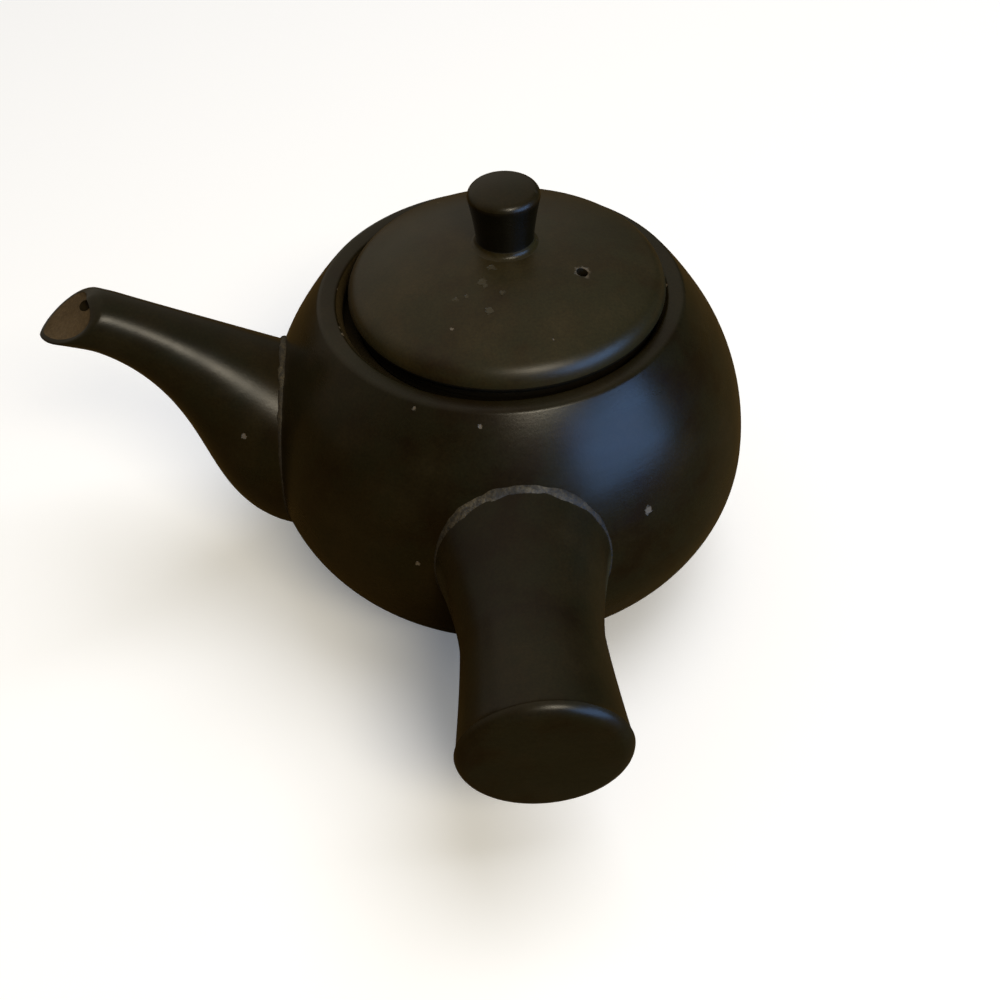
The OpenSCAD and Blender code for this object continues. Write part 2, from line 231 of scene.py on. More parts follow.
def shades(tree, source, *stops):
    """A colour ramp over a source: each stop is a place and a grey level or a colour."""
    ramp = add_node(tree, "ValToRGB")
    while len(ramp.color_ramp.elements) < len(stops):
        ramp.color_ramp.elements.new(0.5)
    for element, (place, colour) in zip(ramp.color_ramp.elements, stops):
        element.position = place
        element.color = (*colour, 1) if isinstance(colour, tuple) else (colour, colour, colour, 1)
    tree.links.new(source, ramp.inputs["Fac"])
    return ramp.outputs["Color"]


def relief(tree, height, depth, under=None):
    """A bump of a depth in metres from a height, on top of another bump."""
    bump = add_node(tree, "Bump", Strength=1.0, Distance=depth)
    tree.links.new(height, bump.inputs["Height"])
    if under is not None:
        tree.links.new(under, bump.inputs["Normal"])
    return bump.outputs["Normal"]


def noise_field(tree, place, scale, detail, rough=0.55, stretch=(1, 1, 1)):
    """Soft noise over Object coordinates, drawn out or squeezed along each axis by its stretch."""
    mapping = add_node(tree, "Mapping")
    mapping.inputs["Scale"].default_value = stretch
    tree.links.new(place, mapping.inputs["Vector"])
    field = add_node(tree, "TexNoise", Scale=scale, Detail=detail, Roughness=rough)
    tree.links.new(mapping.outputs["Vector"], field.inputs["Vector"])
    return field.outputs["Fac"]


def spotted(tree, place, spots, grain, fray):
    """How much a place is in a ragged spot, from 0 to 1: each spot has a middle and a radius."""
    ragged = noise_field(tree, place, scale=grain, detail=2)
    total = None
    for middle, radius in spots:
        away = add_node(tree, "VectorMath", operation="DISTANCE")
        away.inputs[1].default_value = middle
        tree.links.new(place, away.inputs[0])
        edge = worked_out(tree, "MULTIPLY_ADD", ragged, radius * fray, -radius * fray / 2)
        frayed = worked_out(tree, "ADD", away.outputs["Value"], edge)
        spot = add_node(tree, "MapRange", interpolation_type="SMOOTHSTEP", From_Min=radius,
                        From_Max=spot_core * radius)
        tree.links.new(frayed, spot.inputs["Value"])
        shown = spot.outputs["Result"]
        total = shown if total is None else worked_out(tree, "MAXIMUM", total, shown)
    return total


def new_clay(name, gleam):
    """A clay material to start from, with its node tree and the Object coordinates on it."""
    material = bpy.data.materials.new(name)
    material.use_nodes = True
    tree = material.node_tree
    tree.nodes["Principled BSDF"].inputs["Specular IOR Level"].default_value = gleam
    return material, tree, add_node(tree, "TexCoord").outputs["Object"]


def lay_on(tree, colour, rough, normal):
    """Joins a colour, a roughness and a bump to the shader of a clay."""
    shader = tree.nodes["Principled BSDF"]
    for name, socket in (("Base Color", colour), ("Roughness", rough), ("Normal", normal)):
        tree.links.new(socket, shader.inputs[name])


def burnished_clay(name, tone, dull, *marks, gleam=0.20):
    """Dark clay rubbed to a satin sheen: cloudy browns, faint rubbing strokes, grains and paler sharp
    edges.

    dull is the roughness left by the rubbing. Each kind of mark on it has its spots, the grain and fray
    of their outline, and a colour.
    """
    material, tree, place = new_clay(name, gleam)
    cloud = noise_field(tree, place, scale=42, detail=5, rough=0.6)
    brown = shades(tree, cloud, (0.38, clay_dark), (0.50, clay_brown), (0.62, clay_pale))
    patches = noise_field(tree, place, scale=110, detail=4, rough=0.6)
    olive_share = shades(tree, patches, (0.42, 0.0), (0.58, 0.65))
    colour = mixed(tree, "MIX", olive_share, brown, clay_olive)
    colour = mixed(tree, "MULTIPLY", 1.0, colour, (tone, tone, tone))
    grain = noise_field(tree, place, scale=1900, detail=3, rough=0.6)
    colour = mixed(tree, "MULTIPLY", 0.5, colour, shades(tree, grain, (0.25, 0.55), (0.75, 1.45)))
    edge = shades(tree, add_node(tree, "NewGeometry").outputs["Pointiness"], (0.51, 0.0), (0.60, 1.0))
    edge_paleness = mixed(tree, "MULTIPLY", 1.0, edge, shades(tree, cloud, (0.35, 0.1), (0.65, 0.6)))
    colour = mixed(tree, "MIX", edge_paleness, colour, clay_edge_pale)
    strokes = noise_field(tree, place, scale=50, detail=4, stretch=(1, 1, 4))
    rough = shades(tree, strokes, (0.25, dull), (0.75, dull + stroke_dull))
    normal = relief(tree, strokes, depth=0.00006)
    normal = relief(tree, grain, depth=0.000012, under=normal)
    for spots, fineness, fray, pale in marks:
        mark = spotted(tree, place, spots, fineness, fray)
        colour = mixed(tree, "MIX", mark, colour, pale)
        rough = mixed(tree, "MIX", mark, rough, mark_rough)
        normal = relief(tree, worked_out(tree, "SUBTRACT", 1.0, mark), depth=0.00012, under=normal)
    lay_on(tree, colour, rough, normal)
    return material


def matt_clay(name, dark=matt_dark, pale=matt_pale):
    """The same clay where no stone reached it: browner, dry and marked by the potter's fingers."""
    material, tree, place = new_clay(name, gleam=0.06)
    cloud = noise_field(tree, place, scale=60, detail=5, rough=0.6)
    colour = shades(tree, cloud, (0.30, dark), (0.70, pale))
    grain = noise_field(tree, place, scale=1500, detail=4, rough=0.7)
    colour = mixed(tree, "MULTIPLY", 0.6, colour, shades(tree, grain, (0.25, 0.5), (0.75, 1.5)))
    rings = noise_field(tree, place, scale=60, detail=3, rough=0.5, stretch=(0.15, 0.15, 8))
    normal = relief(tree, rings, depth=0.0005)
    normal = relief(tree, grain, depth=0.00006, under=normal)
    lay_on(tree, colour, shades(tree, grain, (0.3, 0.72), (0.7, 0.9)), normal)
    return material


shoulder_foot = wall_radius(shoulder_z)
shoulder = [
    Vector((shoulder_foot, 0, shoulder_z)),
    Vector((shoulder_foot - shoulder_lean, 0, shoulder_z + shoulder_climb)),
    Vector((ridge_radius + ridge_lean, 0, ridge_z - ridge_climb)),
    Vector((ridge_radius, 0, ridge_z)),
]
lip = arc((lip_inside, ridge_z - lip_fall - lip_roll), (lip_roll, lip_roll), lip_roll_from,
          90 + mouth_slope, lip_steps)
slope_top = lip[-1]
slope_z = slope_top.z - (slope_top.x - mouth_radius) * math.tan(math.radians(mouth_slope))
lip.append(Vector((mouth_radius, 0, slope_z)))
seat = [
    Vector((mouth_radius, 0, seat_z)),
    Vector((seat_radius, 0, seat_z)),
    Vector((seat_radius, 0, seat_z - seat_edge)),
]
hollow = belly_arc(pot_wall, pot_floor, seat_z - seat_edge - shelf_drop, hollow_steps)
pot_outline = (
    [Vector((0, 0, 0))]
    + belly_arc(0, 0, shoulder_z, belly_steps)
    + [curve(shoulder, i / shoulder_steps) for i in range(1, shoulder_steps + 1)]
    + lip
    + seat
    + hollow[::-1]
    + [Vector((0, 0, pot_floor))]
)
pot_shape = turned(pot_outline)
soften(pot_shape, pot_soft_edge)
for face in pot_shape.faces:
    middle = face.calc_center_median()
    inwards = face.normal.x * middle.x + face.normal.y * middle.y < 0
    within = math.hypot(middle.x, middle.y) < lip_inside
    if within and pot_floor / 2 < middle.z < slope_z + mouth_margin or inwards and middle.z < seat_z:
        face.material_index = inside_material
    # The sloping wall of the mouth takes the paler matt clay: painted light.
    elif inwards and middle.z < slope_top.z:
        face.material_index = mouth_painted_light_material


def on_wall(angle, z):
    """A place on the outside of the pot, by its angle round the axis in degrees and its height."""
    a = math.radians(angle)
    return Vector((wall_radius(z) * math.cos(a), wall_radius(z) * math.sin(a), z))


def in_mouth(angle, depth):
    """A place on the sloping wall of the mouth, by its angle and its depth below the lip."""
    a = math.radians(angle)
    radius = slope_top.x - (slope_top.z - ridge_z + depth) / math.tan(math.radians(mouth_slope))
    return Vector((radius * math.cos(a), radius * math.sin(a), ridge_z - depth))


pot_chips = [
    (on_wall(-60, 0.0454), 0.0010),
    (on_wall(-113.6, 0.0394), 0.0006),
    (on_wall(-119.5, 0.0662), 0.0006),
    (on_wall(-100, 0.0652), 0.0006),
    (in_mouth(172, 0.0008), 0.0005),
    (in_mouth(-166, 0.0006), 0.0004),
    (in_mouth(-162, 0.0005), 0.0006),
    (in_mouth(-3, 0.0006), 0.0006),
]
pot_clay = burnished_clay("pot_clay", body_tone, body_dull, (pot_chips, chip_grain, chip_fray, chip_pale))
pot_inside_clay = matt_clay("pot_inside_clay")
mouth_painted_light_clay = matt_clay("mouth_painted_light_clay", mouth_painted_light_dark, mouth_painted_light_pale)
pot = set_down(pot_shape, "pot_thrown", pot_clay, pot_inside_clay, mouth_painted_light_clay)
drill(pot, Vector((0, 0, port_z)), Vector((-1, 0, 0)), pot_radius + port_overrun, port_diameter)
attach(pot, "pot_body")
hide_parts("pot")


# Strainer: a small pierced dome of the same clay, stuck to the inside of the wall over the spout's
# hole. It is pressed and pricked by hand and left matt, so that the leaves stay in the pot.
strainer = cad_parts["strainer"]
strainer.data.materials.clear()
strainer.data.materials.append(matt_clay("strainer_clay"))


# Spout: a tapering tube rolled from clay, bent upwards and pared to the curve of the pot's wall.
# Its tip is cut on a slant and scooped with a finger, so that the lower edge pours in a thin stream.
spout_start = 0.038
spout_root_z = port_z
spout_root_radius = 0.0192
spout_root_width = 0.036
spout_reach = 0.0807
spout_tip_z = 0.068
spout_tip_radius = 0.0062
spout_root_slope = math.radians(4)
spout_tip_slope = math.radians(24.8)
spout_cut_slope = math.radians(35)
spout_droop = 0.0014
spout_droop_from = 0.004
spout_droop_curve = 1.4
spout_turn = 0.0034
spout_turn_curve = 1.3
spout_root_pull = 0.0104
spout_tip_pull = 0.029
spout_swell = 0.0036
spout_waist = 0.0007
spout_wall = 0.005
spout_hole_radius = 0.00115
spout_hole_up = 0.0029
spout_scoop = 0.001
spout_lip_round = 0.0007
spout_top_round = 0.0015
spout_sides = 96
spout_steps = 60
rim_steps = 6
scoop_steps = 16
bore_steps = 24
root_before = 0.8
tip_before = 1.6
halvings = 30
joint_gap = 0.00005
# The scoop is cut clay left matt, painted several times paler than the burnished skin: partly the cut
# clay's own colour, partly painted light on the scoop.
scoop_lit_dark = (0.070, 0.048, 0.0260)
scoop_lit_pale = (0.115, 0.081, 0.046)
spout_path = [
    Vector((spout_start, spout_root_z)),
    Vector((spout_start + spout_root_pull * math.cos(spout_root_slope),
            spout_root_z + spout_root_pull * math.sin(spout_root_slope))),
    Vector((spout_reach - spout_tip_pull * math.cos(spout_tip_slope),
            spout_tip_z - spout_tip_pull * math.sin(spout_tip_slope))),
    Vector((spout_reach, spout_tip_z)),
]
spout_radii = [spout_root_radius, spout_root_radius + spout_swell,
               spout_tip_radius - spout_waist, spout_tip_radius]
bore_radii = [spout_radii[0] - spout_wall, spout_radii[1] - spout_wall,
              spout_hole_radius, spout_hole_radius]


def curve_slope(p, t):
    """Direction and speed of the curve drawn by four control values."""
    return 3 * ((1 - t) ** 2 * (p[1] - p[0]) + 2 * (1 - t) * t * (p[2] - p[1]) + t * t * (p[3] - p[2]))


tip_way = curve_slope(spout_path, 1)
tip_speed = tip_way.length
tip_up = Vector((-tip_way.y, tip_way.x)) / tip_speed
lip_length = 2 * spout_tip_radius / math.tan(spout_tip_slope + spout_cut_slope)


def spout_middle(t):
    """The spout's middle line: it runs on straight past the tip's upper edge, but the lip bends down."""
    middle = curve(spout_path, t) if t < 1 else spout_path[3] + (t - 1) * tip_way
    past = max(0, (t - 1) * tip_speed + spout_droop_from)
    return middle - spout_droop * (past / (lip_length + spout_droop_from)) ** spout_droop_curve * tip_up


def spout_ring(t, a, radius, up):
    """A point on a ring round the spout's middle line, at angle a from its top."""
    middle = spout_middle(t)
    ahead = curve_slope(spout_path, min(t, 1)).normalized()
    narrow = 1 + (spout_root_width / (2 * spout_root_radius) - 1) * (1 - min(t, 1)) ** 2
    height = radius * math.cos(a) + up
    return Vector((-(middle.x - height * ahead.y), radius * math.sin(a) * narrow,
                   middle.y + height * ahead.x))


def spout_skin(t, a, inset=0.0):
    """A point on the outside of the spout, or further in by an inset."""
    return spout_ring(t, a, curve(spout_radii, min(t, 1)) - inset, 0)


def spout_bore(t, a):
    """A point on the wall of the channel, which comes out above the middle of the tip."""
    share = min(t, 1)
    return spout_ring(t, a, curve(bore_radii, share), spout_hole_up * share * share)


def off_wall(p):
    """How far a point is outside the pot's wall."""
    return math.hypot(p.x, p.y) - wall_radius(p.z) - joint_gap


def crossing(miss, low, high):
    """Where miss turns positive between two values."""
    for _ in range(halvings):
        middle = (low + high) / 2
        if miss(middle) < 0:
            low = middle
        else:
            high = middle
    return (low + high) / 2


cut_edge = spout_skin(1, 0)
cut_normal = Vector((-math.sin(spout_cut_slope), 0, math.cos(spout_cut_slope)))


def spout_root(a):
    """Where the outside of the spout leaves the pot's wall."""
    return crossing(lambda t: off_wall(spout_skin(t, a)), 0, root_before)


def spout_rim(a, q):
    """The rounded rim of the tip, q from the outside of the spout to the slanting cut."""
    top_share = ((1 + math.cos(a)) / 2) ** 2
    radius = spout_lip_round + (spout_top_round - spout_lip_round) * top_share
    inset = radius * (1 - math.cos(q))
    end = crossing(lambda t: (spout_skin(t, a, inset) - cut_edge).dot(cut_normal),
                   root_before, tip_before)
    back = spout_turn * max(0, -math.sin(a)) ** spout_turn_curve
    end -= (back + radius * (1 - math.sin(q))) / tip_speed
    return spout_skin(end, a, inset), end


def spout_outline(a):
    """All points along the spout at an angle: up the outside, over the rim, down the scoop and bore."""
    root = spout_root(a)
    tip = spout_rim(a, 0)[1]
    outside = [spout_skin(root + (tip - root) * i / spout_steps, a) for i in range(spout_steps + 1)]
    rim = [spout_rim(a, math.radians(90 * i / rim_steps))[0] for i in range(1, rim_steps + 1)]
    bore_end = crossing(lambda t: (spout_bore(t, a) - cut_edge).dot(cut_normal) + spout_scoop,
                        root_before, tip_before)
    bore_end += spout_turn * math.sin(a) * spout_hole_radius / spout_tip_radius / tip_speed
    hole = spout_bore(bore_end, a)
    shares = [i / scoop_steps for i in range(1, scoop_steps)]
    scoop = [
        rim[-1].lerp(hole, s) - spout_scoop * (math.sin(math.pi / 2 * s) - s) * cut_normal
        for s in shares
    ]
    bore_root = crossing(lambda t: off_wall(spout_bore(t, a)), 0, root_before)
    bore = [
        spout_bore(bore_end + (bore_root - bore_end) * i / bore_steps, a)
        for i in range(bore_steps + 1)
    ]
    return outside + rim + scoop + bore


def wrapped(outline_at, sides, changes=()):
    """A skin wrapped round a piece: outline_at gives the points along it at each angle.

    The next material starts after each row of points named in changes.
    """
    outlines = [outline_at(2 * math.pi * i / sides) for i in range(sides)]
    rows = len(outlines[0])
    shape = bmesh.new()
    bmesh.ops.create_grid(shape, x_segments=rows - 1, y_segments=sides, size=1)
    for face in shape.faces:
        row = (face.calc_center_median().x + 1) / 2 * (rows - 1)
        face.material_index = sum(row > change for change in changes)
    for v in shape.verts:
        row = round((v.co.x + 1) / 2 * (rows - 1))
        side = round((v.co.y + 1) / 2 * sides)
        v.co = outlines[side % sides][row]
    bmesh.ops.remove_doubles(shape, verts=shape.verts, dist=1e-7)
    bmesh.ops.recalc_face_normals(shape, faces=shape.faces)
    return shape


scoop_from = spout_steps + 1 + rim_steps
bore_from = scoop_from + scoop_steps - 1
spout_shape = wrapped(spout_outline, spout_sides, (scoop_from, bore_from))
bmesh.ops.bridge_loops(spout_shape, edges=[e for e in spout_shape.edges if e.is_boundary])
bmesh.ops.recalc_face_normals(spout_shape, faces=spout_shape.faces)
spout_chips = [(spout_skin(0.5, math.radians(-88)), 0.0007)]
spout_clay = burnished_clay("spout_clay", body_tone, body_dull,
                            (spout_chips, chip_grain, chip_fray, chip_pale))
scoop_clay_and_light = matt_clay("scoop_clay_and_light", scoop_lit_dark, scoop_lit_pale)
spout = set_down(spout_shape, "spout_tube", spout_clay, scoop_clay_and_light, matt_clay("spout_inside_clay"))
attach(spout, "pot_body")
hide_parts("spout")


# Slip bead of the spout: the paste of clay and water that sticks the spout to the pot. It squeezes out
# along the joint, is smoothed with a fingertip and dries paler and rougher than the clay.
bead_width = 0.0007
bead_height = 0.0010
bead_sides = 160
bead_steps = 10
bead_from = -20
bead_sweep = 130
bead_least = 0.3
bead_look = math.radians(1)
lump_pitch = 260
lump_share = 0.45
crumb_pitch = 700
crumb_share = 0.3
slip_dark = (0.017, 0.0122, 0.0054)
slip_pale = (0.070, 0.056, 0.033)
# Towards the bead's foot the slip is painted this clay-dark colour, and above it its own paler one:
# painted light and shade from above.
slip_shaded_foot = (0.017, 0.0112, 0.0040)


def slip_clay(name, from_z, to_z):
    """Dried slip, dull and crumbly. Between two heights it turns paler upwards: painted light from above.
    """
    material, tree, place = new_clay(name, gleam=0.5)
    patches = noise_field(tree, place, scale=220, detail=4, rough=0.65)
    colour = shades(tree, patches, (0.42, slip_dark), (0.60, slip_pale))
    height = add_node(tree, "SeparateXYZ")
    tree.links.new(place, height.inputs["Vector"])
    paler = add_node(tree, "MapRange", From_Min=from_z, From_Max=to_z)
    tree.links.new(height.outputs["Z"], paler.inputs["Value"])
    colour = mixed(tree, "MIX", paler.outputs["Result"], slip_shaded_foot, colour)
    crumbs = noise_field(tree, place, scale=1300, detail=4, rough=0.7)
    colour = mixed(tree, "MULTIPLY", 1.0, colour, shades(tree, crumbs, (0.38, 0.3), (0.62, 1.6)))
    normal = relief(tree, patches, depth=0.0004)
    normal = relief(tree, crumbs, depth=0.00012, under=normal)
    lay_on(tree, colour, shades(tree, crumbs, (0.3, 0.62), (0.7, 0.85)), normal)
    return material


def slip_bead(skin, root, ahead, thin_z, thick_z, fullness):
    """A lumpy bead along the line where a skin leaves the pot's wall, rubbed thin towards its foot.

    ahead is a short step along the skin, which shows the bead where the skin runs.
    """
    def section(a):
        start = root(a)
        foot = skin(start, a)
        along = (skin(start + ahead, a) - foot).normalized()
        level = foot.z - belly_z
        half = belly_drop if level < 0 else belly_rise
        outwards = Vector((foot.x, foot.y, level * (pot_radius / half) ** 2)).normalized()
        onwards = skin(root(a + bead_look), a + bead_look) - skin(root(a - bead_look), a - bead_look)
        away = onwards.cross(outwards).normalized()
        left_on = fullness * min(1, max(bead_least, (foot.z - thin_z) / (thick_z - thin_z)))
        lump = left_on * (1 + lump_share * noise.noise(foot * lump_pitch)
                          + crumb_share * noise.noise(foot * crumb_pitch))
        points = []
        for i in range(bead_steps + 1):
            turn = math.radians(bead_from + bead_sweep * i / bead_steps)
            aside = away * bead_width * lump * math.cos(turn)
            points.append(foot + aside + along * bead_height * lump * math.sin(turn))
        return points

    return wrapped(section, bead_sides)


spout_bead_shape = slip_bead(spout_skin, spout_root, ahead=0.01,
                             thin_z=0.030, thick_z=0.056, fullness=1.1)
spout_slip = slip_clay("spout_slip", from_z=0.042, to_z=0.064)
spout_bead = set_down(spout_bead_shape, "spout_joint", spout_slip)
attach(spout_bead, "pot_body")
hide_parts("spout_bead")


# Handle: a hollow trumpet of clay, thrown by itself and closed at its end, stuck on at a right angle
# to the spout. It flares towards the pot and towards its end, and a pinhole lets air out in the kiln.
handle_z = 0.0402
handle_start = 0.040
handle_reach = 0.0891
handle_root_radius = 0.0177
handle_root_at = 0.0433
handle_waist_radius = 0.01315
handle_waist_at = 0.0653
handle_end_radius = 0.0155
handle_tilt = math.radians(-3)
handle_root_flare = 1.6
handle_end_flare = 1.3
handle_edge = 0.0025
handle_sides = 128
handle_steps = 48
handle_edge_steps = 8
handle_face_steps = 8
handle_face_rings = 3
handle_dull = 0.30
pinhole_at = 0.057
pinhole_diameter = 0.0024
pinhole_lead = 0.001
pinhole_depth = 0.006
# Two pale patches low on the handle's sides near its root: painted light, where light bouncing up from
# below falls on the flare.
bounce_light_at = 0.050
bounce_light_angle = 100
bounce_light_radius = 0.008
bounce_light_pale = (0.038, 0.029, 0.0105)
bounce_light_grain = 90
bounce_light_fray = 0.8


def handle_radius(at):
    """Radius of the handle at a distance from the pot's axis."""
    if at < handle_waist_at:
        share = (at - handle_waist_at) / (handle_root_at - handle_waist_at)
        flare = (handle_root_radius - handle_waist_radius) * share ** handle_root_flare
    else:
        share = (at - handle_waist_at) / (handle_reach - handle_waist_at)
        flare = (handle_end_radius - handle_waist_radius) * share ** handle_end_flare
    return handle_waist_radius + flare


def handle_ring(at, a, radius):
    """A point round the handle's axis, at angle a from its top."""
    c, s = math.cos(handle_tilt), math.sin(handle_tilt)
    return Vector((radius * math.sin(a), -at * c + radius * math.cos(a) * s,
                   handle_z + at * s + radius * math.cos(a) * c))


def handle_skin(at, a):
    """A point on the outside of the handle."""
    return handle_ring(at, a, handle_radius(at))


def handle_root(a):
    """Where the handle leaves the pot's wall."""
    return crossing(lambda at: off_wall(handle_skin(at, a)), handle_start, handle_waist_at)


def handle_outline(a):
    """All points along the handle at an angle, from the pot's wall to the flat of its end.

    The rings on the end stop short of its middle: closer ones drew a line in the paler edges.
    """
    root = handle_root(a)
    edge_at = handle_reach - handle_edge
    edge_radius = handle_radius(handle_reach) - handle_edge
    side = [handle_skin(root + (edge_at - root) * i / handle_steps, a) for i in range(handle_steps + 1)]
    turns = [math.radians(90 * i / handle_edge_steps) for i in range(1, handle_edge_steps + 1)]
    edge = [
        handle_ring(edge_at + handle_edge * math.sin(q), a, edge_radius + handle_edge * math.cos(q))
        for q in turns
    ]
    face = [
        handle_ring(handle_reach, a, edge_radius * (1 - i / handle_face_steps))
        for i in range(1, handle_face_rings + 1)
    ]
    return side + edge + face


handle_shape = wrapped(handle_outline, handle_sides)
bmesh.ops.holes_fill(handle_shape, edges=[e for e in handle_shape.edges if e.is_boundary])
bmesh.ops.recalc_face_normals(handle_shape, faces=handle_shape.faces)
# Pale patches on both sides of the handle's flare: painted light from below.
handle_bounce_light = [
    (handle_skin(bounce_light_at, math.radians(side)), bounce_light_radius)
    for side in (-bounce_light_angle, bounce_light_angle)
]
handle_clay = burnished_clay("handle_clay", body_tone, handle_dull,
                             (handle_bounce_light, bounce_light_grain, bounce_light_fray, bounce_light_pale))
handle = set_down(handle_shape, "handle_trumpet", handle_clay, matt_clay("handle_inside_clay"))
pinhole_from = handle_ring(pinhole_at, math.pi, handle_radius(pinhole_at) + pinhole_lead)
drill(handle, pinhole_from, Vector((0, 0, 1)), pinhole_depth, pinhole_diameter)
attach(handle, "pot_body")
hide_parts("handle")


# Slip bead of the handle: the same paste round the handle's root, fullest on top of the joint.
# It is made as the spout's is, with the angles run the other way, so that it lies outside the handle.
handle_bead_shape = slip_bead(lambda at, a: handle_skin(at, -a), lambda a: handle_root(-a), ahead=0.0005,
                              thin_z=0.040, thick_z=0.052, fullness=1.0)
handle_slip = slip_clay("handle_slip", from_z=0.047, to_z=0.055)
handle_bead = set_down(handle_bead_shape, "handle_joint", handle_slip)
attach(handle_bead, "pot_body")
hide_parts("handle_bead")


# Lid: a thrown dome with a rolled edge that lies loose on the ledge in the mouth, a little off centre.
# A ring below keeps it in the mouth while pouring, and a pricked vent lets air in behind the tea.
lid_low, lid_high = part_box("lid")
lid_x = (lid_low.x + lid_high.x) / 2
lid_radius = (lid_high.x - lid_low.x) / 2
lid_crown = 0.0107
lid_top = rim_z + lid_crown
lid_dome = 0.066
lid_edge = 0.0046
lid_tuck = 0.0012
lid_tuck_from = -6
lid_tuck_to = -80
lid_undercut = 0.0008
lid_side = 0.0297
lid_wall = 0.0036
lid_gap = 0.0001
lid_foot = seat_z + lid_gap
lid_soft_edge = 0.0005
lid_under_tilt = -0.05
# The lid and the knob's fillet are painted much paler than the body: painted light, as the top is lit more
# than the sides.
lid_painted_light_tone = 0.82
lid_dull = 0.32
lid_gleam = 0.26
# The lid's underside, its ring, the side below its roll and the vent's wall are painted about half as
# bright as the pot's matt inside: painted shade in the gap under the lid's edge.
lid_underside_shade_dark = (0.0050, 0.0034, 0.0012)
lid_underside_shade_pale = (0.0090, 0.0062, 0.0023)
ring_radius = 0.0263
ring_wall = 0.003
ring_roll = ring_wall / 2
ring_depth = 0.006
ring_end = seat_z - ring_depth
ring_inside = ring_radius - ring_wall
vent_from_axis = 0.0164
vent_angle = math.radians(-33)
vent_diameter = 0.0022
vent_wear_radius = 0.0018
vent_pale = (0.105, 0.081, 0.052)
vent_grain = 1100
vent_fray = 1.0
scuff_pale = (0.048, 0.038, 0.020)
scuff_grain = 1000
scuff_fray = 2.5
dome_z = lid_top - lid_dome
roll_x = lid_radius - lid_edge
roll_from = math.degrees(math.acos(roll_x / (lid_dome - lid_edge)))
roll_z = dome_z + (lid_dome - lid_edge) * math.sin(math.radians(roll_from))
under = lid_dome - lid_wall
lid_outline = (
    arc((0, dome_z), (lid_dome, lid_dome), 90, roll_from, steps=48)
    + arc((roll_x, roll_z), (lid_edge, lid_edge), roll_from, 0, steps=16)
    + arc((lid_radius - lid_tuck, roll_z), (lid_tuck, lid_tuck), lid_tuck_from, lid_tuck_to, steps=10)
    + [Vector((lid_side, 0, roll_z - lid_tuck - lid_undercut)), Vector((lid_side, 0, lid_foot)),
       Vector((ring_radius, 0, lid_foot))]
    + arc((ring_radius - ring_roll, ring_end + ring_roll), (ring_roll, ring_roll), 0, -180, steps=12)
    + arc((0, dome_z), (under, under), math.degrees(math.acos(ring_inside / under)), 90, steps=24)
)
lid_shape = turned(lid_outline, lid_x)
soften(lid_shape, lid_soft_edge)
# Faces turned down and faces below the roll take the darker clay: painted shade.
for face in lid_shape.faces:
    middle = face.calc_center_median()
    if face.normal.z < lid_under_tilt or middle.z < roll_z - lid_tuck / 2:
        face.material_index = inside_material


def on_lid(angle, radius):
    """A place on the lid's dome, by its angle and distance from the pot's axis."""
    a = math.radians(angle)
    x, y = radius * math.cos(a), radius * math.sin(a)
    return Vector((x, y, dome_z + math.sqrt(lid_dome ** 2 - (x - lid_x) ** 2 - y ** 2)))


vent_x = lid_x + vent_from_axis * math.cos(vent_angle)
vent_y = vent_from_axis * math.sin(vent_angle)
vent = Vector((vent_x, vent_y, lid_top))
vent_mouth = on_lid(math.degrees(math.atan2(vent.y, vent.x)), math.hypot(vent.x, vent.y))
vent_wear = [(vent_mouth, vent_wear_radius)]
lid_chips = [
    (on_lid(-116.6, 0.0229), 0.00045),
    (on_lid(-72, 0.0258), 0.0003),
    (on_lid(116, 0.0248), 0.0003),
]
lid_scuffs = [
    (on_lid(-110, 0.0118), 0.0009),
    (on_lid(-106, 0.0126), 0.0006),
    (on_lid(-123, 0.0169), 0.0007),
    (on_lid(-117, 0.0155), 0.0006),
    (on_lid(-92, 0.0142), 0.0006),
    (on_lid(-100, 0.0183), 0.0008),
    (on_lid(-104, 0.0080), 0.0008),
]
lid_clay = burnished_clay(
    "lid_clay", lid_painted_light_tone, lid_dull,
    (lid_scuffs, scuff_grain, scuff_fray, scuff_pale),
    (lid_chips, chip_grain, chip_fray, chip_pale),
    (vent_wear, vent_grain, vent_fray, vent_pale),
    gleam=lid_gleam,
)
lid_underside_painted_shade = matt_clay("lid_underside_painted_shade", lid_underside_shade_dark, lid_underside_shade_pale)
lid = set_down(lid_shape, "lid_dome", lid_clay, lid_underside_painted_shade)
drill(lid, vent, Vector((0, 0, -1)), lid_top - seat_z, vent_diameter)
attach(lid, "lid_body")
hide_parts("lid")


# Knob: a short upturned cone with a rounded top, turned by itself from the same clay and stuck to the
# middle of the lid. Its side is painted darker than its top: painted shade.
knob_height = 0.0128
knob_radius = 0.0069
knob_neck = 0.0056
knob_pad = 0.0003
knob_z = dome_z + math.sqrt(lid_dome ** 2 - (knob_neck + knob_pad) ** 2)
knob_edge = 0.0018
knob_dome = 0.020
knob_flare = 1.4
knob_steps = 20
knob_top_tilt = 0.25
knob_shade_material = 1
knob_painted_shade_tone = 0.3 * body_tone
fillet_radius = 0.0014
cap_z = knob_z + knob_height - knob_dome
round_x = knob_radius - knob_edge
round_to = math.degrees(math.acos(round_x / (knob_dome - knob_edge)))
knob_shoulder_z = cap_z + (knob_dome - knob_edge) * math.sin(math.radians(round_to))
neck_z = knob_z + fillet_radius


def knob_side_point(i):
    """A point up the knob's side, which flares from its neck to its shoulder."""
    radius = knob_neck + (knob_radius - knob_neck) * (i / knob_steps) ** knob_flare
    return Vector((radius, 0, neck_z + (knob_shoulder_z - neck_z) * i / knob_steps))


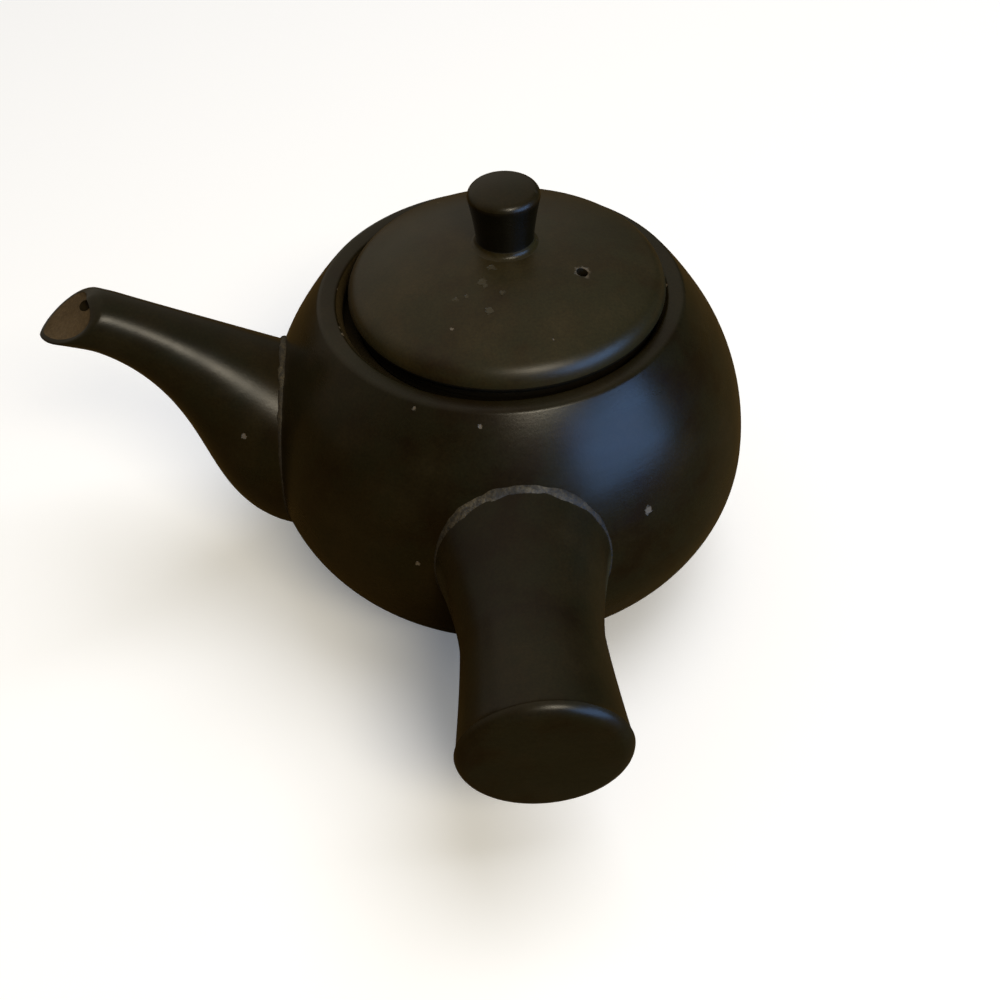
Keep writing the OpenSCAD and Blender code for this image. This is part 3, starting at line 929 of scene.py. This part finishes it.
knob_outline = (
    [Vector((0, 0, knob_z)), Vector((knob_neck, 0, knob_z))]
    + [knob_side_point(i) for i in range(knob_steps + 1)]
    + arc((round_x, knob_shoulder_z), (knob_edge, knob_edge), 0, round_to, steps=10)
    + arc((0, cap_z), (knob_dome, knob_dome), round_to, 90, steps=12)
)
knob_shape = turned(knob_outline, lid_x)
# Faces that turn sideways or down get the darker clay: painted shade on the knob's side.
for face in knob_shape.faces:
    if face.normal.z < knob_top_tilt:
        face.material_index = knob_shade_material
knob_clay = burnished_clay("knob_clay", body_tone, body_dull)
knob_side_painted_shade = burnished_clay("knob_side_painted_shade", knob_painted_shade_tone, body_dull)
knob = set_down(knob_shape, "knob_turned", knob_clay, knob_side_painted_shade)
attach(knob, "lid_body")
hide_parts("knob")


# Fillet of the knob: the slip that sticks the knob to the lid. A finger has drawn it into a hollow
# round the knob's foot, and it is rubbed smooth with the lid.
fillet_from = 250
fillet_foot = knob_neck + fillet_radius * (1 + math.cos(math.radians(fillet_from)))
foot_z = dome_z + math.sqrt(lid_dome ** 2 - fillet_foot ** 2)
fillet_z = foot_z - fillet_radius * math.sin(math.radians(fillet_from))
fillet_outline = (
    [Vector((knob_neck, 0, foot_z)), Vector((fillet_foot, 0, foot_z))]
    + arc((knob_neck + fillet_radius, fillet_z), (fillet_radius, fillet_radius), fillet_from, 180,
          steps=14)
    + [Vector((knob_neck, 0, foot_z))]
)
# The fillet takes the lid's paler tone: painted light.
fillet_clay = burnished_clay("fillet_clay", lid_painted_light_tone, body_dull)
knob_bead = set_down(turned(fillet_outline, lid_x), "knob_fillet", fillet_clay)
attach(knob_bead, "lid_body")
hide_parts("knob_bead")


# Floor: a plain white sheet under the pot, large enough to fill the picture and to take its shadow.
# The clay's rough sheen and bounced light see it brown, because white washed out the pot's underside.
floor_size = 4.0
floor_white = (0.95, 0.95, 0.95)
floor_tone = (0.12, 0.072, 0.022)
floor_lift = 0.155
floor_glow = (0.82, 0.89, 1.0)


def white_sheet(name):
    """Paper that the camera and clear reflections see white, with a faint glow.

    Other rays see it brown and without the glow.
    """
    material = bpy.data.materials.new(name)
    material.use_nodes = True
    tree = material.node_tree
    paper = tree.nodes["Principled BSDF"]
    path = add_node(tree, "LightPath").outputs
    mirrored = worked_out(tree, "MULTIPLY", path["Is Glossy Ray"], path["Is Singular Ray"])
    seen = worked_out(tree, "MAXIMUM", path["Is Camera Ray"], path["Is Transmission Ray"])
    seen = worked_out(tree, "MAXIMUM", seen, mirrored)
    tree.links.new(mixed(tree, "MIX", seen, floor_tone, floor_white), paper.inputs["Base Color"])
    tree.links.new(worked_out(tree, "MULTIPLY", seen, floor_lift), paper.inputs["Emission Strength"])
    paper.inputs["Emission Color"].default_value = (*floor_glow, 1)
    paper.inputs["Roughness"].default_value = 0.9
    paper.inputs["Specular IOR Level"].default_value = 0.0
    return material


floor_shape = bmesh.new()
bmesh.ops.create_grid(floor_shape, x_segments=1, y_segments=1, size=floor_size / 2)
floor = set_down(floor_shape, "floor_sheet", white_sheet("floor_white"))


# Light: a warm soft lamp with a brighter core over the camera, a cool window low on the right, and a
# room that is bright above and behind. The core and the window fall on the outer pieces alone, and a
# lamp overhead falls on the sheet alone and keeps it white.
pot_middle = Vector((0, 0, 0.04))
sheet_middle = Vector((0, 0, 0))
sky_colour = (1, 0.92, 0.76)
sky_brightest = (-0.40, 0.50, 0.77)
sky_dim = 0.03
sky_dim_at = 0.30
sky_bright = 0.58
sky_bright_at = 0.95


def soft_lamp(name, place, aim, size, watts, colour):
    """A rectangular lamp at a place, turned towards what it lights."""
    lamp = bpy.data.lights.new(name, "AREA")
    lamp.shape = "RECTANGLE"
    lamp.size, lamp.size_y = size
    lamp.energy = watts
    lamp.color = colour
    stand = bpy.data.objects.new(name, lamp)
    stand.location = place
    stand.rotation_mode = "QUATERNION"
    stand.rotation_quaternion = (aim - place).to_track_quat("-Z", "Y")
    bpy.context.scene.collection.objects.link(stand)
    return stand


soft_lamp("front_lamp", Vector((0.27, -0.73, 0.79)), pot_middle, size=(0.44, 0.28), watts=5.4,
          colour=(1.0, 0.89, 0.68))
front_bulb = soft_lamp("front_bulb", Vector((0.22, -0.74, 0.79)), pot_middle, size=(0.08, 0.08), watts=1.3,
                       colour=(1.0, 0.91, 0.74))
window = soft_lamp("window", Vector((0.77, -0.59, 0.30)), pot_middle, size=(0.80, 0.50), watts=10.0,
                   colour=(0.25, 0.50, 1.0))
sheet_lamp = soft_lamp("sheet_lamp", Vector((0.55, 0.15, 1.5)), sheet_middle, size=(1.2, 1.2), watts=15.6,
                       colour=(0.89, 0.92, 1.0))
outer_pieces = (pot, spout, spout_bead, handle, handle_bead, lid, knob, knob_bead)
for lamp, lit in ((front_bulb, outer_pieces), (window, outer_pieces), (sheet_lamp, (floor,))):
    falls_on = bpy.data.collections.new(lamp.name + "_falls_on")
    for piece in lit:
        falls_on.objects.link(piece)
    lamp.light_linking.receiver_collection = falls_on

room = bpy.data.worlds.new("room")
room.use_nodes = True
sky = room.node_tree
sky_light = sky.nodes["Background"]
sky_light.inputs["Color"].default_value = (*sky_colour, 1)
facing = add_node(sky, "VectorMath", operation="DOT_PRODUCT")
facing.inputs[1].default_value = sky_brightest
sky.links.new(add_node(sky, "TexCoord").outputs["Generated"], facing.inputs[0])
level = add_node(sky, "MapRange", From_Min=sky_dim_at, From_Max=sky_bright_at, To_Min=sky_dim,
                 To_Max=sky_bright)
sky.links.new(facing.outputs["Value"], level.inputs["Value"])
sky.links.new(level.outputs["Result"], sky_light.inputs["Strength"])
bpy.context.scene.world = room


# Camera: in front of the handle and well above it, as the pot was pictured.
# It is turned a little off level, and colours are shown as they are, with no film look.
eye = Vector((-0.01201, -0.22174, 0.23271))
look_at = Vector((-0.0018, 0.0001, 0.00888))
camera_roll = math.radians(-2.364)
lens = bpy.data.cameras.new("camera")
lens.sensor_width = 36
lens.lens = 50.12
camera = bpy.data.objects.new("camera", lens)
camera.location = eye
camera.rotation_mode = "QUATERNION"
level_turn = (look_at - eye).to_track_quat("-Z", "Y")
camera.rotation_quaternion = level_turn @ Quaternion((0, 0, 1), camera_roll)
bpy.context.scene.collection.objects.link(camera)
bpy.context.scene.camera = camera
bpy.context.scene.view_settings.view_transform = "Standard"
